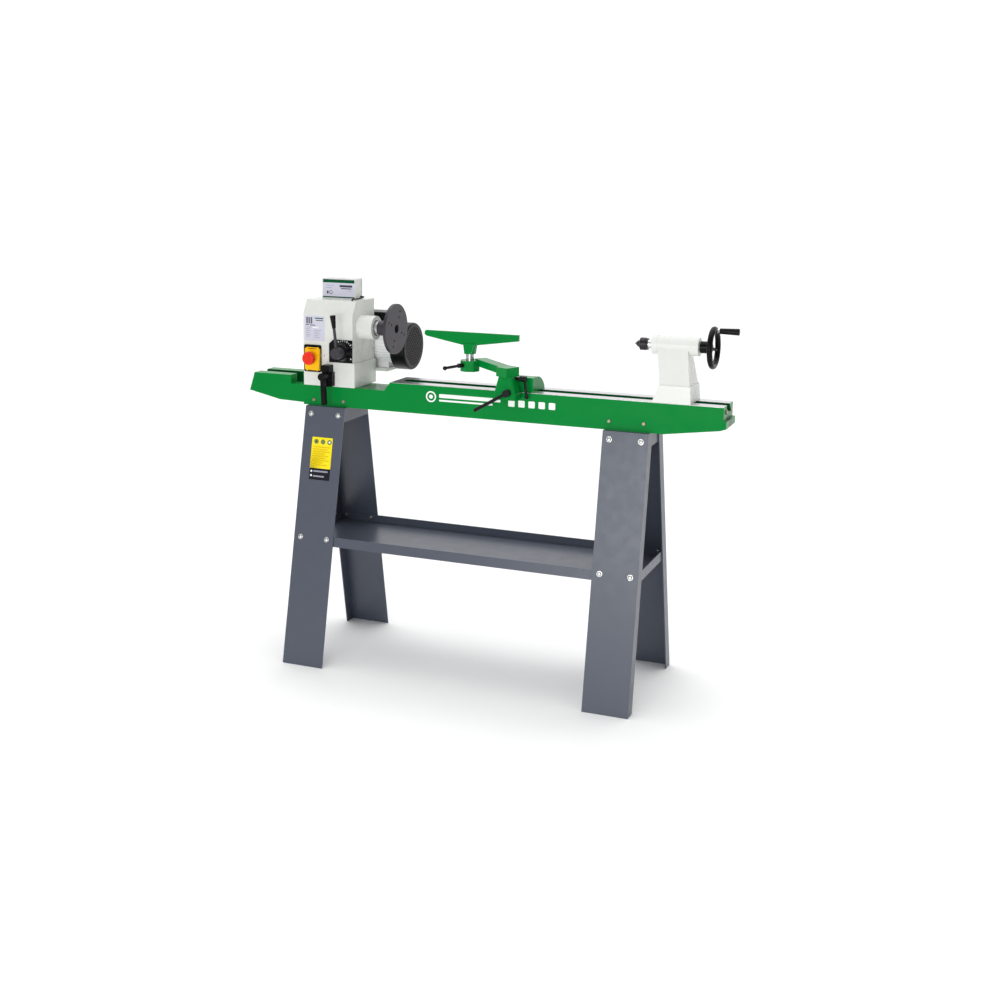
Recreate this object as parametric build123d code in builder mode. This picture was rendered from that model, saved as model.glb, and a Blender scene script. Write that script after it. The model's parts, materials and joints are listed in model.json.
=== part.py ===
"""Wood lathe on a four-leg stand, built from separate pieces.

Frame: +X runs from the headstock to the tailstock, -Y faces the operator, +Z is up.
The floor is z = 0 and the bed and the spindle share the plane y = 0. Millimetres.
"""
import os
from math import atan2, cos, hypot, radians, sin

from build123d import *

os.makedirs("parts", exist_ok=True)

# ---------------------------------------------------------------- driving dimensions
# bed casting
bed_half_width = 61.0
bed_top = 906.0
bed_bottom = 812.7
bed_left_tip = -808.6
way_thickness = 16.0
slot_half_width = 21.0
seat_z = 877.4
seat_left, seat_right = -651.8, -311.7
rail_left, rail_right = -290.6, 764.0
wall = 10.0

# stand
foot_y = 238.3
leg_top_y = 78.5
leg_width = 141.9
leg_left_x, leg_right_x = -586.1, 565.9
leg_flange = 42.0
sheet = 4.0
shelf_bottom, shelf_top = 376.5, 406.0
upper_bolt_z, shelf_bolt_z = 788.4, 398.0

# headstock
spindle_z = 1070.0
head_left, head_right = -604.8, -424.3
head_back = 91.0
head_top = 1156.0
base_top = 956.0
pivot_x = -510.0
boss_end = -369.3
spindle_radius = 17.5
shoulder_radius = 22.5
faceplate_x = -297.0
faceplate_radius = 81.0

# motor beside the back of the headstock
motor_y, motor_z = 154.0, 995.0
motor_radius = 58.0
fan_cover_radius = 78.5
motor_face = -308.0
motor_length = 169.0

# belt drive
belt_x = -572.0
belt_width = 12.0
spindle_pulley_radius, motor_pulley_radius = 41.0, 31.0

# controls on the headstock front
front_y = -61.0
speed_x, speed_z = -457.0, 994.0
switch_x, switch_z = -569.0, 966.5
switch_body_x, switch_body_z = (-593.0, -544.0), (948.0, 986.0)
lock_x, lock_z = -508.0, 916.0

# tool rest carrier
pivot_arm = (118.0, -87.0)
post_at = (-34.0, -15.0)
post_radius = 12.5
holder_low, holder_high = 954.0, 988.0
carrier_left, carrier_right = 85.0, 192.0
carrier_top = 951.0
upright_top = 957.0

# hand levers of the tool rest carrier
lever_shaft_x, lever_shaft_z = 136.0, 912.0
arm_clamp_y, arm_clamp_z = -76.0, 950.0
rest_clamp_at = Vector(-47.7, -42.0, 974.0)
rest_clamp_axis = Vector(-0.428, -0.904, 0)
rest_lever_rod = ((-52.0, -51.0, 974.0), (-118.0, -20.0, 957.0))

# lead from the control box into the headstock
lead_radius = 2.5
lead_exit = (-454.0, 52.0, 1163.0)
lead_entry = (-443.0, -28.0, 1143.5)
lead_bends = [6.0, 9.0, 30.0, 5.0]

# tailstock
barrel_left, barrel_right = 552.0, 697.0
barrel_radius = 28.0
quill_radius = 13.5
clamp_bolt_radius = 8.0
wheel_x = 735.0
wheel_radius, wheel_section = 55.0, 8.5
crank_radius = 50.0

running = 0.05  # radial clearance of a running fit
gap = 0.3  # room between faces that slide past each other

spindle_axis = Axis((0, 0, spindle_z), (1, 0, 0))
ON_BASE = (Align.CENTER, Align.CENTER, Align.MIN)


# ---------------------------------------------------------------- helpers
def save(part, name):
    """Label a finished piece and write its STEP file."""
    part.label = name
    export_step(part, f"parts/{name}.step")


def along_x(x_low, x_high, radius, y=0.0, z=spindle_z, mode=Mode.ADD):
    """Round bar parallel to X in the part being built."""
    with Locations(Plane(origin=(x_low, y, z), x_dir=(0, 1, 0), z_dir=(1, 0, 0)).location):
        Cylinder(radius, x_high - x_low, align=ON_BASE, mode=mode)


def bar(start, end, radius, end_radius=None, mode=Mode.ADD):
    """Round or tapered bar between two points in the part being built."""
    start, end = Vector(start), Vector(end)
    run = end - start
    with Locations(Plane(origin=start, z_dir=run).location):
        if end_radius is None:
            Cylinder(radius, run.length, align=ON_BASE, mode=mode)
        else:
            Cone(radius, end_radius, run.length, align=ON_BASE, mode=mode)


def block(x, y, z, mode=Mode.ADD):
    """Box given by its (low, high) pairs along X, Y and Z."""
    with Locations(((x[0] + x[1]) / 2, (y[0] + y[1]) / 2, (z[0] + z[1]) / 2)):
        Box(x[1] - x[0], y[1] - y[0], z[1] - z[0], mode=mode)


def side_profile(points, x_low, x_high, mode=Mode.ADD):
    """Extrude a closed (y, z) outline along X in the part being built."""
    with BuildSketch(Plane.YZ.offset(x_low)) as outline:
        Polygon(*points, align=None)
    extrude(outline.sketch, amount=x_high - x_low, mode=mode)


def front_profile(points, y_low, y_high, mode=Mode.ADD):
    """Extrude a closed (x, z) outline along Y in the part being built."""
    with BuildSketch(Plane.XZ.offset(-y_high)) as outline:
        Polygon(*points, align=None)
    extrude(outline.sketch, amount=y_high - y_low, mode=mode)


def turned(points, y=0.0, z=spindle_z):
    """Turn an (x, radius) outline about a line parallel to X in the part being built."""
    with BuildSketch(Plane.XZ.offset(-y)) as outline:
        Polygon(*[(x, z + r) for x, r in points], align=None)
    revolve(outline.sketch, axis=Axis((0, y, z), (1, 0, 0)))


# ---------------------------------------------------------------- bed casting
bed_outline = [
    (-790, bed_top), (seat_left, bed_top), (seat_left, seat_z), (seat_right, seat_z),
    (rail_left, bed_top), (783.5, bed_top), (783.5, 863), (791.6, 863), (791.6, 842),
    (774, 836), (604.4, bed_bottom), (-604.4, bed_bottom), (-604.4, 819.2), (-694, 822),
    (bed_left_tip, 846),
]
rib_positions = (-290, 0, 300, 708)
rib_thickness = 8
cavity_ceiling = bed_top - way_thickness
seat_ceiling = seat_z - way_thickness

bed_screw_spots = [(-565.5, 831.0), (-458.2, 831.0), (438.0, 839.0), (545.3, 839.0)]
bed_screw_radius = 4.0


def drill_bed_screw_holes():
    """Drill the cross holes of the bed screws through the part being built."""
    for x, z in bed_screw_spots:
        bar((x, -70, z), (x, 70, z), bed_screw_radius + running, mode=Mode.SUBTRACT)


with BuildPart() as bed:
    front_profile(bed_outline, -bed_half_width, bed_half_width)
    inner = (-bed_half_width + wall, bed_half_width - wall)
    block((-700, -320), inner, (800, seat_ceiling), mode=Mode.SUBTRACT)
    block((rail_left + 4, rail_right), inner, (840, cavity_ceiling), mode=Mode.SUBTRACT)
    for left, right in zip(rib_positions, rib_positions[1:]):
        bay = (left + rib_thickness / 2, right - rib_thickness / 2)
        block(bay, inner, (800, cavity_ceiling), mode=Mode.SUBTRACT)
    slot = (-slot_half_width, slot_half_width)
    block((rail_left + 24, 784), slot, (cavity_ceiling - 4, bed_top + 1), mode=Mode.SUBTRACT)
    block((bed_left_tip - 1, seat_left + 1), slot, (seat_z, bed_top + 1), mode=Mode.SUBTRACT)
    with Locations((pivot_x, 0, seat_ceiling - 1)):
        Cylinder(clamp_bolt_radius + 1, way_thickness + 2, align=ON_BASE, mode=Mode.SUBTRACT)
    drill_bed_screw_holes()
save(bed.part, "bed")

# ---------------------------------------------------------------- stand
leg_slope = (foot_y - leg_top_y) / bed_bottom
leg_lean = atan2(foot_y - leg_top_y, bed_bottom)
sheet_in_y = sheet / cos(leg_lean)


def leg_y(z):
    """Distance of a leg's outer face from the middle plane at a height."""
    return foot_y - leg_slope * z


def leg_section(side, inset, depth):
    """(y, z) outline of a slanted strip, inset from the outer face of a leg."""
    outer = [(leg_y(z) - inset, z) for z in (0, bed_bottom)]
    inner = [(leg_y(z) - inset - depth, z) for z in (bed_bottom, 0)]
    return [(side * y, z) for y, z in outer + inner]


leg_bolt_inset = {upper_bolt_z: 21.9, shelf_bolt_z: 23.6}
bolt_radius = 4.0


def leg_bolt_planes(ends=(-1, 1), sides=(-1, 1), heights=(upper_bolt_z, shelf_bolt_z)):
    """Planes on the outer faces of the legs where a bolt goes, z pointing outwards."""
    for end in ends:
        low_x = leg_left_x if end < 0 else leg_right_x - leg_width
        for side in sides:
            outward = (0, side * cos(leg_lean), sin(leg_lean))
            for z in heights:
                inset = leg_bolt_inset[z]
                for x in (low_x + inset, low_x + leg_width - inset):
                    yield Plane(origin=(x, side * leg_y(z), z), x_dir=(1, 0, 0), z_dir=outward)


def drill_bolt_holes(**which):
    """Drill the clearance holes of the leg bolts through the part being built."""
    for face in leg_bolt_planes(**which):
        with Locations(face.offset(-16).location):
            Cylinder(bolt_radius + running, 20, align=ON_BASE, mode=Mode.SUBTRACT)


leg_names = {(-1, -1): "leg_front_left", (-1, 1): "leg_rear_left",
             (1, -1): "leg_front_right", (1, 1): "leg_rear_right"}
for (end, side), name in leg_names.items():
    outer_x = leg_left_x if end < 0 else leg_right_x
    plate = sorted((outer_x, outer_x - end * leg_width))
    flange = sorted((outer_x, outer_x - end * sheet))
    with BuildPart() as leg:
        side_profile(leg_section(side, 0, sheet_in_y), *plate)
        side_profile(leg_section(side, 0, leg_flange), *flange)
        drill_bolt_holes(ends=(end,), sides=(side,))
    save(leg.part, name)

saddle_low = 768.0
tab_top = 846.0
for end, name in ((-1, "saddle_left"), (1, "saddle_right")):
    outer_x = (leg_left_x if end < 0 else leg_right_x) - end * sheet
    span = sorted((outer_x, outer_x - end * (leg_width - sheet)))
    outside = [(s * (leg_y(z) - sheet_in_y), z) for s, z in
               ((-1, saddle_low), (-1, bed_bottom), (1, bed_bottom), (1, saddle_low))]
    inside = [(s * (leg_y(z) - 2 * sheet_in_y), z) for s, z in
              ((-1, saddle_low - 1), (-1, bed_bottom - sheet), (1, bed_bottom - sheet),
               (1, saddle_low - 1))]
    with BuildPart() as saddle:
        side_profile(outside, *span)
        side_profile(inside, span[0] + sheet, span[1] - sheet, mode=Mode.SUBTRACT)
        for y in (wall - bed_half_width, bed_half_width - wall - sheet):
            block((span[0] + 12, span[1] - 12), (y, y + sheet), (bed_bottom, tab_top))
        drill_bolt_holes(ends=(end,), heights=(upper_bolt_z,))
        drill_bed_screw_holes()
    save(saddle.part, name)

with BuildPart() as shelf:
    tray = [(s * (leg_y(z) - sheet_in_y), z) for s, z in
            ((-1, shelf_bottom), (-1, shelf_top), (1, shelf_top), (1, shelf_bottom))]
    hollow = [(s * (leg_y(z) - 2 * sheet_in_y), z) for s, z in
              ((-1, shelf_bottom + sheet), (-1, shelf_top + 1), (1, shelf_top + 1),
               (1, shelf_bottom + sheet))]
    shelf_ends = (leg_left_x + sheet, leg_right_x - sheet)
    side_profile(tray, *shelf_ends)
    side_profile(hollow, shelf_ends[0] + sheet, shelf_ends[1] - sheet, mode=Mode.SUBTRACT)
    drill_bolt_holes(heights=(shelf_bolt_z,))
save(shelf.part, "shelf")

head_height, washer_height, nut_height = 4.6, 1.6, 6.0
with BuildPart() as leg_bolts:
    for face in leg_bolt_planes():
        with Locations(face.location):
            Cylinder(9, washer_height, align=ON_BASE)
        with Locations(face.offset(washer_height).location):
            Cone(7.2, 5.6, head_height, align=ON_BASE)
        with Locations(face.offset(-2 * sheet - nut_height - 1).location):
            Cylinder(bolt_radius, 2 * sheet + nut_height + 1, align=ON_BASE)
save(leg_bolts.part, "leg_bolts")

with BuildPart() as leg_nuts:
    for face in leg_bolt_planes():
        with BuildSketch(face.offset(-2 * sheet - nut_height)) as nut:
            RegularPolygon(6.5, 6, major_radius=False)
            Circle(bolt_radius, mode=Mode.SUBTRACT)
        extrude(nut.sketch, amount=nut_height)
save(leg_nuts.part, "leg_nuts")

end_screw_y, end_screw_z = 30.0, 888.0
with BuildPart() as bed_screws:
    for x, z in bed_screw_spots:
        for side in (-1, 1):
            outside = side * bed_half_width
            tip = side * (bed_half_width - wall - sheet - 3)
            bar((x, outside, z), (x, outside + side * 3, z), 6.5, 5.0)
            bar((x, tip, z), (x, outside, z), bed_screw_radius)
    for y in (-end_screw_y, end_screw_y):
        along_x(783.5, 787.5, 7.0, y=y, z=end_screw_z)
save(bed_screws.part, "bed_screws")

# ---------------------------------------------------------------- headstock casting
shell = 9.0
cover_thickness = 3.0
bulkhead = (-545.0, -527.0)
front_wall = (-440.0, head_right)
front_bearing_x, rear_bearing_x = (-422.0, -400.0), (-545.0, -527.0)
bearing_radius = 31.0
rear_window = ((-598.0, -551.0), (956.0, 1110.0))
small_holes = [((head_right - 5, 15.5, 1013.7), (head_right + 1, 15.5, 1013.7)),
               ((head_right - 5, 0.4, 952.6), (head_right + 10, 0.4, 952.6)),
               ((-526.6, front_y - 1, 977.7), (-526.6, front_y + 5, 977.7))]

with BuildPart() as headstock_casting:
    block((-602.9, -417.9), (front_y, head_back), (seat_z + gap, base_top))
    side_profile([(front_y, base_top), (front_y, 1111), (-37, head_top), (head_back, head_top),
                  (head_back, base_top)], head_left + cover_thickness, head_right)
    along_x(head_right - 2, boss_end, 38.5)
    side_profile([(front_y + shell, 898), (front_y + shell, 1107), (-41, 1144),
                  (head_back - shell, 1144), (head_back - shell, 898)],
                 bulkhead[1], front_wall[0], mode=Mode.SUBTRACT)
    side_profile([(front_y + shell, 960), (front_y + shell, 1107), (-41, 1144),
                  (head_back - shell, 1144), (head_back - shell, 960)],
                 head_left, bulkhead[0], mode=Mode.SUBTRACT)
    block(rear_window[0], (head_back - shell - 1, head_back + 1), rear_window[1],
          mode=Mode.SUBTRACT)
    along_x(bulkhead[0] - 1, bulkhead[1] + 1, bearing_radius, mode=Mode.SUBTRACT)
    along_x(front_wall[0] - 1, front_bearing_x[1], bearing_radius, mode=Mode.SUBTRACT)
    along_x(front_bearing_x[1] - 1, boss_end + 1, 25.5, mode=Mode.SUBTRACT)
    bar((speed_x, front_y - 1, speed_z), (speed_x, front_y + shell + 1, speed_z), 7.05,
        mode=Mode.SUBTRACT)
    bar((lock_x, front_y - 1, lock_z), (lock_x, front_y + 20, lock_z), 6.05, mode=Mode.SUBTRACT)
    block(switch_body_x, (front_y - 1, front_y + 31), switch_body_z, mode=Mode.SUBTRACT)
    bar((pivot_x, 0, seat_z), (pivot_x, 0, 899), clamp_bolt_radius, mode=Mode.SUBTRACT)
    for start, end in small_holes:
        bar(start, end, 2.5, mode=Mode.SUBTRACT)
    bar((lead_entry[0], lead_entry[1], head_top - 13), (lead_entry[0], lead_entry[1], head_top + 1),
        lead_radius + running, mode=Mode.SUBTRACT)
save(headstock_casting.part, "headstock_casting")

with BuildPart() as end_cover:
    side_profile([(front_y, base_top + 2), (front_y, 1111), (-37, head_top), (head_back, head_top),
                  (head_back, base_top + 2)], head_left, head_left + cover_thickness)
save(end_cover.part, "headstock_end_cover")

with BuildPart() as clamp:
    bar((pivot_x, 0, 842), (pivot_x, 0, 899), clamp_bolt_radius)
    bar((pivot_x, 0, 846), (pivot_x, 0, seat_ceiling - 0.5), 40)
save(clamp.part, "headstock_clamp")

for (x_low, x_high), name in ((front_bearing_x, "front_bearing"), (rear_bearing_x, "rear_bearing")):
    with BuildPart() as bearing:
        along_x(x_low, x_high, bearing_radius)
        along_x(x_low - 1, x_high + 1, spindle_radius + running, mode=Mode.SUBTRACT)
        for x in (x_low, x_high):
            with BuildSketch(Plane.YZ.offset(x - 1.2)) as shield_groove:
                with Locations((0, spindle_z)):
                    Circle(27)
                    Circle(22, mode=Mode.SUBTRACT)
            extrude(shield_groove.sketch, amount=2.4, mode=Mode.SUBTRACT)
    save(bearing.part, name)

# ---------------------------------------------------------------- motor and belt drive
cover_back = 228.0
plate_x = (-541.0, -529.0)
shelf_z = (914.0, 924.0)
terminal_z = (1062.0, 1107.5)
motor_left = plate_x[1]
motor_right = motor_left + motor_length

with BuildPart() as belt_cover:
    block((head_left + 2, plate_x[0]), (head_back, cover_back), (930, 1124))
    block((head_left + 5, plate_x[0] - 3), (head_back - 1, cover_back - 3), (933, 1121),
          mode=Mode.SUBTRACT)
    along_x(plate_x[0] - 4, plate_x[0] + 1, 24, y=motor_y, z=motor_z, mode=Mode.SUBTRACT)
save(belt_cover.part, "belt_cover")

with BuildPart() as motor_plate:
    block(plate_x, (head_back, cover_back), (shelf_z[0], 1080))
    block((plate_x[0], -375), (head_back, 208), shelf_z)
    along_x(plate_x[0] - 1, plate_x[1] + 1, 20, y=motor_y, z=motor_z, mode=Mode.SUBTRACT)
save(motor_plate.part, "motor_plate")

fin_count, fin_height, fin_width = 40, 4.0, 2.6
with BuildPart() as motor_body:
    with BuildSketch(Plane.YZ.offset(motor_left + 14)) as finned:
        with Locations((motor_y, motor_z)):
            Circle(motor_radius)
            with PolarLocations(motor_radius + fin_height / 2 - 1, fin_count):
                Rectangle(fin_height + 2, fin_width)
    extrude(finned.sketch, amount=motor_length - 26)
    along_x(motor_left, motor_left + 14, motor_radius + 4, y=motor_y, z=motor_z)
    along_x(motor_right - 12, motor_right, motor_radius + 3, y=motor_y, z=motor_z)
    along_x(motor_left + 14, motor_right - 12, 44, y=motor_y, z=motor_z, mode=Mode.SUBTRACT)
    along_x(motor_left - 1, motor_right + 1, 9.55, y=motor_y, z=motor_z, mode=Mode.SUBTRACT)
    block((-470, -390), (122, 186), (motor_z + 50, terminal_z[0]))
    block((-505, -385), (motor_y - 34, motor_y + 34), (shelf_z[1], motor_z - 50))
    along_x(motor_left + 14, motor_right - 12, 44, y=motor_y, z=motor_z, mode=Mode.SUBTRACT)
save(motor_body.part, "motor_body")

grille_pitch, grille_hole = 11.0, 7.0
with BuildPart() as fan_cover:
    along_x(motor_right, motor_face, fan_cover_radius, y=motor_y, z=motor_z)
    fillet(fan_cover.edges().filter_by(GeomType.CIRCLE).sort_by(Axis.X)[-1], 7)
    along_x(motor_right - 1, motor_face - 3, fan_cover_radius - 4, y=motor_y, z=motor_z,
            mode=Mode.SUBTRACT)
    with BuildSketch(Plane.YZ.offset(motor_face - 4)) as grille:
        with Locations(Location((motor_y, motor_z), 45)):
            with GridLocations(grille_pitch, grille_pitch, 11, 11):
                Rectangle(grille_hole, grille_hole)
        with Locations((motor_y, motor_z)):
            Circle(64, mode=Mode.INTERSECT)
    extrude(grille.sketch, amount=6, mode=Mode.SUBTRACT)
save(fan_cover.part, "fan_cover")

with BuildPart() as terminal_box:
    block((-484, -384), (118, 190), terminal_z)
    fillet(terminal_box.edges().group_by(Axis.Z)[-1], 3)
    block((-481, -387), (121, 187), (terminal_z[0] - 1, terminal_z[1] - 3), mode=Mode.SUBTRACT)
save(terminal_box.part, "terminal_box")

with BuildPart() as motor_shaft:
    along_x(belt_x - 14, motor_right + 22, 9.5, y=motor_y, z=motor_z)
    along_x(motor_left + 24, motor_right - 24, 36, y=motor_y, z=motor_z)
save(motor_shaft.part, "motor_shaft")

with BuildPart() as cooling_fan:
    fan_low, fan_high = motor_right + 8, motor_right + 34
    along_x(fan_low, fan_high, 16, y=motor_y, z=motor_z)
    along_x(fan_low, fan_low + 3, 64, y=motor_y, z=motor_z)
    with BuildSketch(Plane.YZ.offset(fan_low + 3)) as blades:
        with Locations((motor_y, motor_z)):
            with PolarLocations(39, 9):
                Rectangle(48, 3)
    extrude(blades.sketch, amount=fan_high - fan_low - 3)
    along_x(fan_low - 1, motor_right + 22, 9.5, y=motor_y, z=motor_z, mode=Mode.SUBTRACT)
save(cooling_fan.part, "cooling_fan")


def pulley(pitch_radius, bore, y, z):
    """V-belt pulley in the belt plane, two flared flanges with a groove for the belt."""
    rim, root = pitch_radius + 4, pitch_radius - 4.4
    half, flare = belt_width / 2 + 0.4, 2.0
    turned([(belt_x - 14, bore), (belt_x - 14, rim), (belt_x - half - flare, rim),
            (belt_x - half, root), (belt_x + half, root), (belt_x + half + flare, rim),
            (belt_x + 14, rim), (belt_x + 14, bore)], y=y, z=z)


with BuildPart() as motor_pulley:
    pulley(motor_pulley_radius, 9.5, motor_y, motor_z)
save(motor_pulley.part, "motor_pulley")

with BuildPart() as spindle_pulley:
    pulley(spindle_pulley_radius, spindle_radius, 0, spindle_z)
save(spindle_pulley.part, "spindle_pulley")

belt_depth = 4.0
with BuildPart() as drive_belt:
    for grow, mode in ((belt_depth, Mode.ADD), (-belt_depth, Mode.SUBTRACT)):
        with BuildSketch(Plane.YZ.offset(belt_x - belt_width / 2)) as loop:
            with Locations((0, spindle_z)):
                Circle(spindle_pulley_radius + grow)
            with Locations((motor_y, motor_z)):
                Circle(motor_pulley_radius + grow)
            make_hull()
        extrude(loop.sketch, amount=belt_width, mode=mode)
save(drive_belt.part, "drive_belt")

# ---------------------------------------------------------------- spindle and faceplate
nose_radius, nose_end = 16.5, -314.0
with BuildPart() as spindle:
    turned([(-596, 9), (-596, spindle_radius), (-375, spindle_radius), (-375, shoulder_radius),
            (-358.7, shoulder_radius), (-358.7, nose_radius), (nose_end, nose_radius),
            (nose_end, 8.9), (-360, 7.6), (-360, 5), (-570, 5), (-570, 9)])
save(spindle.part, "spindle")

faceplate_thickness = 10.0
hole_ring_angle = 66.0
with BuildPart() as faceplate:
    turned([(-357, nose_radius + 0.02), (-357, 24), (faceplate_x - faceplate_thickness, 24),
            (faceplate_x - faceplate_thickness, faceplate_radius), (faceplate_x, faceplate_radius),
            (faceplate_x, 14), (-303, 14), (-303, nose_radius + 0.02)])
    for ring_radius, hole_radius in ((40, 3.5), (60, 3.5)):
        for quarter in range(4):
            angle = radians(hole_ring_angle + 90 * quarter)
            along_x(faceplate_x - 12, faceplate_x + 1, hole_radius, y=ring_radius * cos(angle),
                    z=spindle_z + ring_radius * sin(angle), mode=Mode.SUBTRACT)
save(faceplate.part, "faceplate")

# ---------------------------------------------------------------- speed control
dial_plate_front = front_y - 4.0
with BuildPart() as dial_plate:
    front_profile([(-508, 958), (-508, 1018), (-493, 1032), (-424.6, 1032), (-424.6, 958)],
                  dial_plate_front, front_y)
    bar((speed_x, -70, speed_z), (speed_x, -60, speed_z), 8, mode=Mode.SUBTRACT)
save(dial_plate.part, "speed_dial_plate")

hub_back, hub_front = -91.0, -118.0
with BuildPart() as dial_collar:
    bar((speed_x, dial_plate_front, speed_z), (speed_x, hub_back + gap, speed_z), 32, 25)
    bar((speed_x, -100, speed_z), (speed_x, -60, speed_z), 8, mode=Mode.SUBTRACT)
save(dial_collar.part, "speed_dial_collar")

grip_top = Vector(-466.3, -116.0, 1117.0)
lever_root = Vector(speed_x, -106.0, speed_z)
grip_foot = lever_root + (grip_top - lever_root) * 0.66
with BuildPart() as speed_lever:
    bar((speed_x, hub_back, speed_z), (speed_x, hub_front, speed_z), 20.5, 17.5)
    bar((speed_x, hub_back, speed_z), (speed_x, front_y + 36, speed_z), 7)
    bar(lever_root, grip_foot, 5.5, 4.6)
    bar((speed_x, front_y + 24, speed_z), (speed_x, front_y + 36, speed_z), 15)
save(speed_lever.part, "speed_lever")

with BuildPart() as speed_grip:
    bar(grip_foot, grip_top, 5.8, 9.6)
    fillet(speed_grip.edges().sort_by(Axis.Z)[-1], 2.5)
save(speed_grip.part, "speed_lever_grip")

# ---------------------------------------------------------------- stop switch
plate_y = front_y - 3.0
housing_front = plate_y - 4.0
button_spots = {"on_button": -579.0, "off_button": -552.0}
button_radius, button_z = 6.5, 966.0
button_back = plate_y + 2.0
stop_x, stop_z = -564.0, 971.0
stop_stem_radius = 8.0

with BuildPart() as switch_plate:
    with BuildSketch(Plane.XZ.offset(-front_y)) as plate_outline:
        with Locations((switch_x, switch_z)):
            RectangleRounded(64, 89, 6)
    extrude(plate_outline.sketch, amount=3)
    block(switch_body_x, (front_y, front_y + 30), switch_body_z)
    for x in button_spots.values():
        bar((x, plate_y - 1, button_z), (x, front_y + 5, button_z), button_radius + gap,
            mode=Mode.SUBTRACT)
save(switch_plate.part, "switch_plate")

with BuildPart() as switch_housing:
    block((-588, -540), (housing_front, plate_y), (928, 996))
    for x in button_spots.values():
        bar((x, housing_front - 1, button_z), (x, plate_y + 1, button_z), button_radius + gap,
            mode=Mode.SUBTRACT)
save(switch_housing.part, "switch_housing")

for name, x in button_spots.items():
    with BuildPart() as button:
        bar((x, housing_front - 3, button_z), (x, button_back, button_z), button_radius)
        fillet(button.edges().sort_by(Axis.Y)[0], 1.5)
    save(button.part, name)

flap_front, flap_back = housing_front - 9.0, housing_front - gap
flap_hinge_y, flap_hinge_z = housing_front - 2.5, 1001.5
with BuildPart() as switch_flap:
    front_profile([(-590, 933), (-590, 999), (-582, 1005), (-577, 998), (-551, 998), (-546, 1005),
                   (-538, 998), (-538, 934), (-546, 927), (-551, 933), (-577, 933), (-582, 927)],
                  flap_front, flap_back)
    bar((-586, flap_hinge_y, flap_hinge_z), (-542, flap_hinge_y, flap_hinge_z), 1.8)
    block((-588, -540), (flap_front + 2, flap_back + 1), (935, 996), mode=Mode.SUBTRACT)
    bar((stop_x, flap_front - 1, stop_z), (stop_x, flap_back, stop_z),
        stop_stem_radius + gap, mode=Mode.SUBTRACT)
save(switch_flap.part, "switch_flap")

with BuildPart() as stop_mushroom:
    bar((stop_x, flap_front + 1.6, stop_z), (stop_x, -96, stop_z), stop_stem_radius)
    bar((stop_x, flap_front - 5, stop_z), (stop_x, -96, stop_z), 13, 17)
    bar((stop_x, -95, stop_z), (stop_x, -107, stop_z), 21.5)
    fillet(stop_mushroom.edges().sort_by(Axis.Y)[0], 6)
save(stop_mushroom.part, "stop_mushroom")

# ---------------------------------------------------------------- headstock lock
with BuildPart() as lock_block:
    block((-523, -495), (-88, front_y), (881, 950))
    block((-495, -489), (-80, front_y), (881, 927))
    fillet(lock_block.edges().filter_by(Axis.X).group_by(Axis.Y)[0].sort_by(Axis.Z)[-1], 6)
    bar((lock_x, -100, lock_z), (lock_x, -50, lock_z), 6.05, mode=Mode.SUBTRACT)
save(lock_block.part, "headstock_lock_block")

with BuildPart() as lock_lever:
    bar((lock_x, -88.5, lock_z), (lock_x, -121, lock_z), 12.5)
    fillet(lock_lever.edges().sort_by(Axis.Y)[0], 4)
    bar((lock_x, -90, lock_z), (lock_x, front_y + 18, lock_z), 6)
    with BuildSketch(Plane.XZ.offset(100)) as arm_outline:
        Polygon((-516, 912), (-500, 912), (-495.5, 824), (-511.5, 824), align=None)
    extrude(arm_outline.sketch, amount=11)
    fillet(lock_lever.edges().filter_by(Axis.Y).group_by(Axis.Z)[0], 4)
save(lock_lever.part, "headstock_lock_lever")

# ---------------------------------------------------------------- control box
box_x, box_y, box_z = (-576.0, -454.0), (15.0, 63.0), (head_top, 1223.0)
with BuildPart() as control_box:
    block(box_x, box_y, box_z)
    fillet(control_box.edges().filter_by(Axis.Y), 2)
    block((box_x[0] + 3, box_x[1] - 3), (box_y[0] + 3, box_y[1] - 2),
          (box_z[0] + 3, box_z[1] - 3), mode=Mode.SUBTRACT)
    bar((box_x[1] - 4, *lead_exit[1:]), (box_x[1] + 1, *lead_exit[1:]), lead_radius + running,
        mode=Mode.SUBTRACT)
save(control_box.part, "control_box")

lead_route = [(box_x[1] - 3, *lead_exit[1:]), (-440.5, *lead_exit[1:]), (-441.0, 30.0, 1160.8),
              (-443.5, 3.0, 1159.4), (lead_entry[0], lead_entry[1], 1161.5), lead_entry]
with BuildPart() as control_lead:
    with BuildLine() as route:
        FilletPolyline(*lead_route, radius=lead_bends)
    with BuildSketch(Plane(origin=route.line @ 0, z_dir=route.line % 0)):
        Circle(lead_radius)
    sweep()
save(control_lead.part, "control_lead")

# ---------------------------------------------------------------- tool rest carrier
arm_run = (post_at[0] - pivot_arm[0], post_at[1] - pivot_arm[1])
arm_length = hypot(*arm_run)
carrier_floor = bed_top + gap
clamp_ceiling = cavity_ceiling - 0.5

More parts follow.
